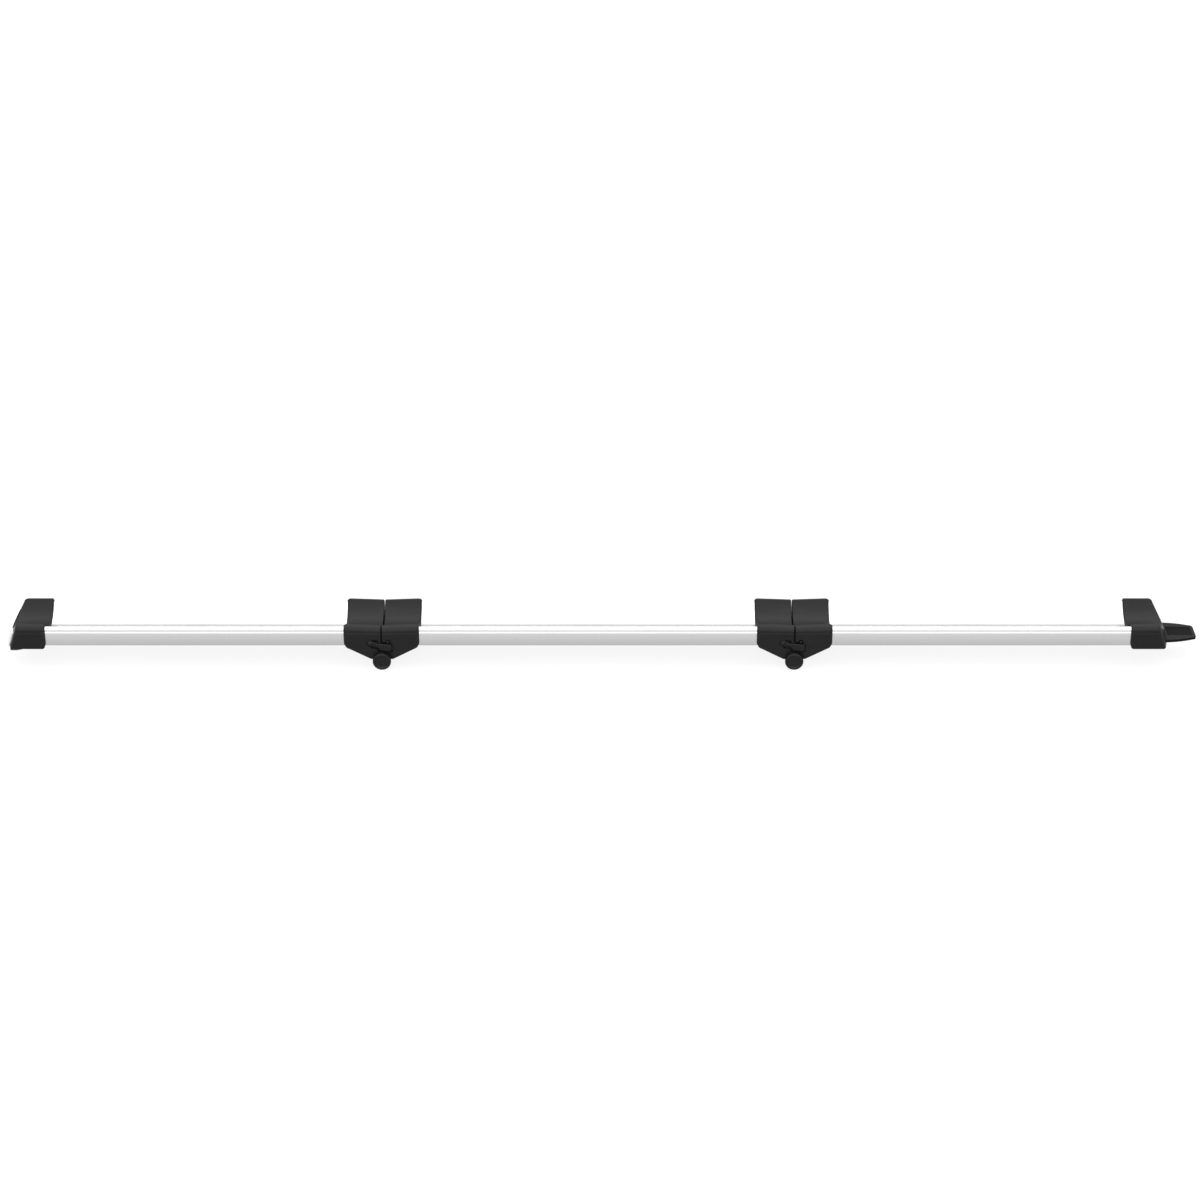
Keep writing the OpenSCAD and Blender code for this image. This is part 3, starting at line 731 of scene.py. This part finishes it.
for name, joint in {"left": 0, "right": 1}.items():
    centre = np.array([PIN_X[joint], 0.0, PIN_Z])
    head = flipped(dished_head(), KNOB_Y)
    front = [(-along, radius) for along, radius in head]
    fit(turned("hinge_knob_" + name + "_moulding", "Y", [(centre, front)]),
        nylon, "black_moulding", "middle_section", "hinge_knob_" + name)
    fit(turned("pin_head_" + name + "_moulding", "Y", [(centre, head)]),
        nylon, "black_moulding", "middle_section", "pin_head_" + name)
    end = KNOB_Y + SOCKET
    pin = [(-end, 0.0), (-end, PIN_R - 0.5), (0.5 - end, PIN_R),
           *[(y, PIN_R) for y in line(-end, end, 9)[1:-1]],
           (end - 0.5, PIN_R), (end, PIN_R - 0.5), (end, 0.0)]
    fit(turned("hinge_pin_" + name + "_turned", "Y", [(centre, pin)]),
        zinc, "steel", "middle_section", "hinge_pin_" + name)
    bore = PIN_R + 0.06
    tube = [(-SLEEVE_END, bore), (-SLEEVE_END, SLEEVE - 0.4), (0.4 - SLEEVE_END, SLEEVE),
            (SLEEVE_END - 0.4, SLEEVE), (SLEEVE_END, SLEEVE - 0.4), (SLEEVE_END, bore), (-SLEEVE_END, bore)]
    fit(turned("hinge_sleeve_" + name + "_tube", "Y", [(centre, tube)]),
        zinc, "steel", "middle_section", "hinge_sleeve_" + name)
    low, high = WASHER_Y, WASHER_Y + WASHER_T
    ring = [(low, bore), (low, WASHER - 0.3), (low + 0.3, WASHER), (high - 0.3, WASHER),
            (high, WASHER - 0.3), (high, bore), (low, bore)]
    both = [(centre, ring), (centre, [(-along, radius) for along, radius in ring])]
    fit(turned("thrust_washers_" + name + "_turned", "Y", both),
        zinc, "steel", "middle_section", "thrust_washers_" + name)


# ---------------------------------------------------------------- rivets under the shells
# Aluminium blind rivets hold each moulding to the base of its channel: a low domed head under
# the shell and a swelled bulb inside the hollow of the extrusion.
def rivet_alloy_finish():
    """Bright rivet alloy, dulled in patches."""
    metal = Finish("rivet_alloy", Metallic=1.0)
    dull = metal.ramp(metal.noise((1, 1, 1), 420.0, 4.0), 0.35, 0.65)
    metal.shade(Base_Color=metal.mix(dull, (0.62, 0.63, 0.64, 1), (0.46, 0.47, 0.48, 1)),
                Roughness=0.28 + 0.2 * dull)
    metal.bump(dull, 0.02 * MM, 0.5)
    return metal.material


rivet_alloy = rivet_alloy_finish()
FOOT_X = 1000 * (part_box("hook_tongue")[1][0]) - 44.0
MIDDLE_X = sum(PIN_X) / 2
SHELL_Z = BASE_Z - SKIN
REACH = FOOT_X - MIDDLE_X
RIVET_ROWS = {
    "left": [PIN_X[0] - 30, MIDDLE_X - REACH + 27],
    "middle": [PIN_X[0] + 30, PIN_X[1] - 30],
    "right": [PIN_X[1] + 30, FOOT_X - 27],
}
for name, stations in RIVET_ROWS.items():
    profile = [*dome(-0.35, 3.5, 0.65), (-0.02, 3.6), (-0.02, 2.0), (5.7, 2.0), (6.0, 2.7),
               (6.5, 2.9), (7.2, 2.2), (7.9, 2.0), (7.9, 0.0)]
    spots = [((x, y, SHELL_Z), profile) for x in stations for y in (-22, 22)]
    fit(turned("rivets_" + name + "_set", "Z", spots), rivet_alloy, "rivet_alloy",
        name + "_section", "rivets_" + name)


# ---------------------------------------------------------------- end caps
# A nylon cap closes each outer end. It carries the trough on to a leaning nose that bows out
# in plan, with every outer edge rounded and the rim swept under at its foot.
CAP = 47.2
NOSE_EDGE = 3.2
NOSE_LEAN = radians(19.3)
NOSE_R = 148.0
HALF_SHELL = HALF_W + SKIN
NOSE_X = REACH + (NOSE_R - sqrt(NOSE_R ** 2 - HALF_SHELL ** 2)) / cos(NOSE_LEAN)


def nose_at(outline, grow=0.0):
    """Distance of the nose from the middle of the bar at points of an outline (across, up).

    The nose is a cylinder of radius NOSE_R whose axis leans back: the further across and the
    higher a point lies, the nearer it is.
    """
    bow = np.sqrt((NOSE_R + grow) ** 2 - outline[:, 0] ** 2) - NOSE_R
    return NOSE_X + bow / cos(NOSE_LEAN) - (outline[:, 1] + SKIN) * np.tan(NOSE_LEAN)


def cap_rows():
    """Rows of a cap: floor of its socket, inside, rounded rim, outside, rounded nose edge, nose."""
    inside, outside = section(FIT), section(SKIN)
    full = np.ones(len(outside))
    stop = REACH - 18.0
    fall = np.clip((1.5 - outside[:, 1]) / 5.1, 0.0, 1.0)
    rim = REACH - CAP + 4.0 * (1 - np.sqrt(1 - fall ** 2))
    sink = RIM * 0.6
    rows = [extend(collapse(inside), stop), extend(inside, stop), extend(inside, rim + 0.1)]
    for turn in np.radians(np.linspace(0, 90, 7)):
        rows.append(extend(section(SKIN - RIM + RIM * sin(turn)), rim + sink * (1 - cos(turn)) * full))
    nose = nose_at(outside)
    for share in np.linspace(0, 1, 9)[1:]:
        rows.append(extend(outside, rim + sink + share * (nose - NOSE_EDGE - rim - sink)))
    for turn in np.radians(np.linspace(0, 90, 7)[1:]):
        edge = section(SKIN - NOSE_EDGE + NOSE_EDGE * cos(turn))
        rows.append(extend(edge, nose_at(edge) - NOSE_EDGE + NOSE_EDGE * sin(turn)))
    inner = section(SKIN - NOSE_EDGE)
    spine = collapse(inner)
    for share in (0.35, 0.7, 1.0):
        step = inner + share * (spine - inner)
        rows.append(extend(step, nose_at(step)))
    return np.array(rows)


def set_end(rows, side):
    """Rows measured outwards from the middle of the bar, set at the left (-1) or right (+1) end."""
    placed = np.array(rows)
    placed[..., 0] = MIDDLE_X + side * placed[..., 0]
    return placed


TONGUE_TOP = BASE_Z + 0.4
TONGUE_T = 4.8
TONGUE_HALF = 23.5
TONGUE_ROOT = REACH - 14.0
RIM_W = 4.0
for name, side in {"left": -1, "right": 1}.items():
    cap = skin("end_cap_" + name + "_moulding", set_end(cap_rows(), side))
    if side > 0:
        slot_ends = (MIDDLE_X + TONGUE_ROOT, MIDDLE_X + 2 * REACH)
        slot_outline = ((-1, SHELL_Z - 1), (1, SHELL_Z - 1), (1, TONGUE_TOP), (-1, TONGUE_TOP))
        corners = np.array([(x, y * (TONGUE_HALF + FIT), z) for x in slot_ends for y, z in slot_outline])
        box = bpy.data.meshes.new("slot")
        box.from_pydata(corners * MM, [], [(0, 1, 2, 3), (7, 6, 5, 4), (0, 4, 5, 1), (1, 5, 6, 2),
                                           (2, 6, 7, 3), (3, 7, 4, 0)])
        box.uv_layers.new(name="along")
        worked(cap, "DIFFERENCE", tidy("slot", box))
    fit(cap, nylon, "black_moulding", name + "_section", "end_cap_" + name)


# ---------------------------------------------------------------- nose strip
# A pale rubber strip bonded round the foot of the left nose, thin enough to show only as a
# light edge from the front.
def rubber_finish(name, pale, dark, scale):
    """Matt rubber with a fine dusty bloom."""
    rubber = Finish(name, IOR=1.4)
    bloom = rubber.ramp(rubber.noise((1, 1, 1), scale, 4.0), 0.3, 0.7)
    grain = rubber.noise((1, 1, 1), 3200.0, 2.0)
    rubber.shade(Base_Color=rubber.mix(bloom, (dark, dark, dark * 0.99, 1), (pale, pale, pale * 0.985, 1)),
                 Roughness=0.62 + 0.15 * bloom)
    rubber.bump(grain, 0.04 * MM, 0.4)
    return rubber.material


def strip_rows():
    """A band between its foot and its top, carried outwards from the nose and rounded at its face."""
    across = np.linspace(-1, 1, 61)
    y = 35.0 * across
    foot = np.full(61, -SKIN + 1.0)
    trough = TROUGH_AT[1] - np.sqrt((TROUGH - SKIN + 0.6) ** 2 - np.minimum(np.abs(y), 27.0) ** 2)
    top = np.minimum(trough, SIDE + 1.2) - 1.5 * np.abs(across) ** 12
    loop = np.concatenate([np.stack([y, foot], 1), np.stack([y, top], 1)[::-1]])
    middle = np.stack([y, (foot + top) / 2], 1)
    spine = np.concatenate([middle, middle[::-1]])
    layers = [(1.0, 0.05), (0.0, 0.05), (0.0, 1.0), (0.1, 1.4), (0.3, 1.55), (1.0, 1.6)]
    rows = []
    for share, grow in layers:
        ring = loop + share * (spine - loop)
        rows.append(extend(ring, nose_at(ring, grow)))
    return rows


grey_rubber = rubber_finish("grey_rubber", 0.50, 0.42, 300.0)
strip = skin("nose_strip_band", set_end(strip_rows(), -1))
fit(strip, grey_rubber, "grey_rubber", "left_section", "nose_strip")


# ---------------------------------------------------------------- ground pad
# A black rubber foot under the left nose, following its curve: flat below, with a ramp on its
# inner side and rounded edges.
PAD_T = 2.2
PAD_L = 16.0
PAD_RAMP = 7.0


def pad_rows():
    """A slab whose outer edge follows the nose; its underside falls along the ramp, then stays level."""
    across = np.linspace(-1, 1, 81)
    y = (HALF_SHELL - 1.2) * across
    outer = nose_at(np.stack([y, np.full(81, -SKIN)], 1), -1.0)
    inner = np.full(81, REACH - PAD_L)
    side = 0.7 * np.clip((np.abs(across) - 0.97) / 0.03, 0, 1) ** 2
    rows = []
    for share in np.concatenate([[0.0], np.linspace(0, 1, 40)]):
        x = inner + share * (outer - inner)
        ramp = np.clip((x - inner) / PAD_RAMP, 0, 1)
        edge = 0.7 * np.clip((x - outer + 1.2) / 1.2, 0, 1) ** 2
        drop = 0.3 + (PAD_T - 0.3) * ramp - np.maximum(edge, side * ramp)
        rows.append(np.stack([x, y, SHELL_Z - (drop if len(rows) else 0.1 + 0 * drop)], 1))
    rows = np.array(rows)
    lid = rows.copy()
    lid[..., 2] = SHELL_Z - 0.02
    return rows, lid


def slab(name, lower, upper):
    """A closed slab between two grids of points that share their border."""
    m, n = lower.shape[:2]
    index = np.arange(m * n).reshape(m, n)
    quads = np.stack([index[:-1, :-1], index[:-1, 1:], index[1:, 1:], index[1:, :-1]], -1).reshape(-1, 4)
    border = np.concatenate([index[0, :-1], index[:-1, -1], index[-1, :0:-1], index[:0:-1, 0]])
    after = np.roll(border, -1)
    walls = np.stack([border, after, after + m * n, border + m * n], 1)
    mesh = bpy.data.meshes.new(name)
    mesh.from_pydata(np.concatenate([lower.reshape(-1, 3), upper.reshape(-1, 3)]) * MM, [],
                     np.concatenate([quads, quads[:, ::-1] + m * n, walls]).tolist())
    mesh.uv_layers.new(name="along")
    return tidy(name, mesh)


black_rubber = rubber_finish("black_rubber", 0.026, 0.018, 240.0)
pad = slab("ground_pad_foot", *[set_end(grid, -1) for grid in pad_rows()])
fit(pad, black_rubber, "black_rubber", "left_section", "ground_pad")


# ---------------------------------------------------------------- tongue and its screws
# A flat nylon tongue set into the foot of the right nose and held by two screws from below. A
# rim runs round its upper face, and the recess inside the rim is open towards the root.
def tongue_grids():
    """Lower and upper grids over the tongue's plan: sides along a parabola, a square tip.

    The recess in the upper face falls away smoothly inside the rim and starts clear of the nose.
    """
    tip = REACH + 44.0
    corner = 4.5
    tip_half = TONGUE_HALF * 0.68
    recess, recess_run = 1.45, 1.4
    edge_drop, edge_run = 0.8, 1.6
    round_end = tip - corner + corner * np.sin(line(0, pi / 2, 18)[1:])
    x = np.concatenate([line(TONGUE_ROOT, tip - corner, 60), round_end])
    drawn = np.clip((x - REACH) / (tip - corner - REACH), 0, 1)
    half = TONGUE_HALF - (TONGUE_HALF - tip_half) * drawn ** 2
    bend = np.clip((x - tip + corner) / corner, 0, 1)
    half = np.where(x > tip - corner, tip_half - corner + corner * np.sqrt(1 - bend ** 2), half)
    across = np.sin(line(-pi / 2, pi / 2, 61)) * 0.4 + line(-1, 1, 61) * 0.6
    y = half[:, None] * across[None]
    xs = np.broadcast_to(x[:, None], y.shape)
    past_corner = np.hypot(np.clip(xs - tip + corner, 0, None),
                           np.clip(np.abs(y) - tip_half + corner, 0, None))
    to_edge = np.minimum(half[:, None] - np.abs(y), np.where(xs > tip - corner, corner - past_corner, 99))
    inside = np.minimum(np.minimum(tip_half - RIM_W - np.abs(y), tip - RIM_W - xs), xs - NOSE_X)
    fall = np.clip(inside / recess_run, 0, 1)
    crown = edge_drop * np.clip(1 - to_edge / edge_run, 0, 1) ** 2
    top = TONGUE_TOP - recess * fall ** 2 * (3 - 2 * fall) - crown
    foot = TONGUE_TOP - TONGUE_T + crown
    return np.stack([xs, y, foot], -1), np.stack([xs, y, top], -1)


def tongue_finish():
    """The same nylon left matt, but polished by use along the raised rim."""
    matt = Finish("black_nylon_matt", IOR=1.07, Coat_Roughness=0.25, Coat_IOR=1.3)
    grain = matt.noise((1, 1, 1), 2200.0, 3.0)
    worn = matt.noise((1, 1, 1), 160.0, 3.0)
    height = matt.add("SeparateXYZ", 2, Vector=matt.add("TexCoord", "Object"))
    on_rim = matt.ramp(height, (TONGUE_TOP - 1.0) * MM, (TONGUE_TOP - 0.2) * MM)
    matt.shade(Base_Color=matt.mix(worn, (0.0045, 0.0045, 0.0048, 1), (0.0075, 0.0075, 0.0078, 1)),
               Roughness=0.42 + 0.1 * grain, Coat_Weight=on_rim * 0.35)
    matt.bump(grain, 0.05 * MM, 0.35)
    return matt.material


tongue = slab("hook_tongue_moulding", *[set_end(grid, 1) for grid in tongue_grids()])
holes = []
for y in (-12, 12):
    centre = (MIDDLE_X + REACH - 7, y, 0)
    foot = TONGUE_TOP - TONGUE_T
    holes.append((centre, [(foot - 1, 0), (foot - 1, 4.0), (foot + 2, 4.0), (foot + 2, 2.06),
                           (TONGUE_TOP + 1, 2.06), (TONGUE_TOP + 1, 0)]))
worked(tongue, "DIFFERENCE", turned("screw_holes", "Z", holes))
fit(tongue, tongue_finish(), "black_moulding", "right_section", "hook_tongue")
for socket in bpy.data.objects["tongue_screws"].material_slots:
    socket.material = zinc
